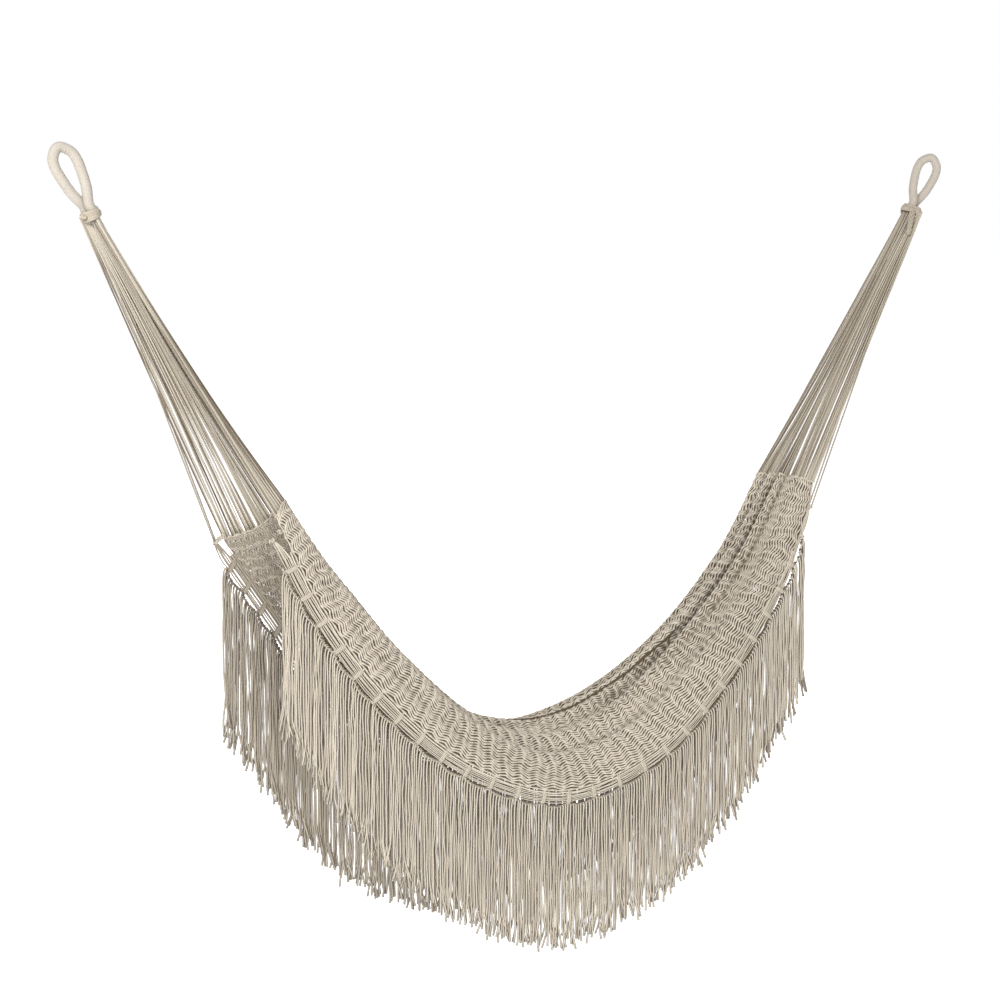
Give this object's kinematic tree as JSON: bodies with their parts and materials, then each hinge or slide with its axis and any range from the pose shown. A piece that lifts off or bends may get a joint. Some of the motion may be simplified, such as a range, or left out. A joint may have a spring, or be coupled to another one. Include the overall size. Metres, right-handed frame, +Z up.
{
  "type": "hammock",
  "caption": "Fringed hammock of knotted natural cotton cord, hung by an eye loop at each end, with a long zigzag net bed, ladder borders and a deep fringe along both sides.",
  "frame": {"origin": "inner crown of the left eye loop, where the left hook bears", "axes": "+X from the left eye to the right eye, +Y away from the viewer of the picture, +Z up, as the hammock hangs"},
  "size_m": [2.3789, 0.3082, 2.0161],
  "materials": {
    "cotton_cord": "matt twisted natural cotton cord, warm grey",
    "net_cord": "matt twisted natural cotton cord worked as a zigzag net",
    "fringe_cord": "matt twisted cotton fringe cord, uneven at its tips",
    "eye_rope": "rope under a smooth, closely woven pale cotton sleeve"
  },
  "bodies": {
    "eyes": {"left_eye_loop": "eye_rope", "left_whipping": "cotton_cord", "right_eye_loop": "eye_rope", "right_whipping": "cotton_cord"},
    "bed": {"left_clew_cords": "cotton_cord", "right_clew_cords": "cotton_cord", "near_left_border_gather": "cotton_cord", "near_right_border_gather": "cotton_cord", "near_border_cord_1": "cotton_cord", "near_border_cord_2": "cotton_cord", "near_border_cord_3": "cotton_cord", "near_border_cord_4": "cotton_cord", "near_border_cord_5": "cotton_cord", "near_border_cord_6": "cotton_cord", "near_crossbar_row": "cotton_cord", "near_fringe_left": "fringe_cord", "near_fringe_right": "fringe_cord", "far_left_border_gather": "cotton_cord", "far_right_border_gather": "cotton_cord", "far_border_cord_1": "cotton_cord", "far_border_cord_2": "cotton_cord", "far_border_cord_3": "cotton_cord", "far_border_cord_4": "cotton_cord", "far_border_cord_5": "cotton_cord", "far_border_cord_6": "cotton_cord", "far_crossbar_row": "cotton_cord", "far_fringe_left": "fringe_cord", "far_fringe_right": "fringe_cord", "woven_bed": "net_cord"}
  },
  "joints": [
    {"name": "sway", "type": "hinge", "parent": "eyes", "child": "bed", "pos_m": [0.063, 0, -0.143], "axis": [1, 0, 0], "range_deg": [-25, 25]}
  ]
}
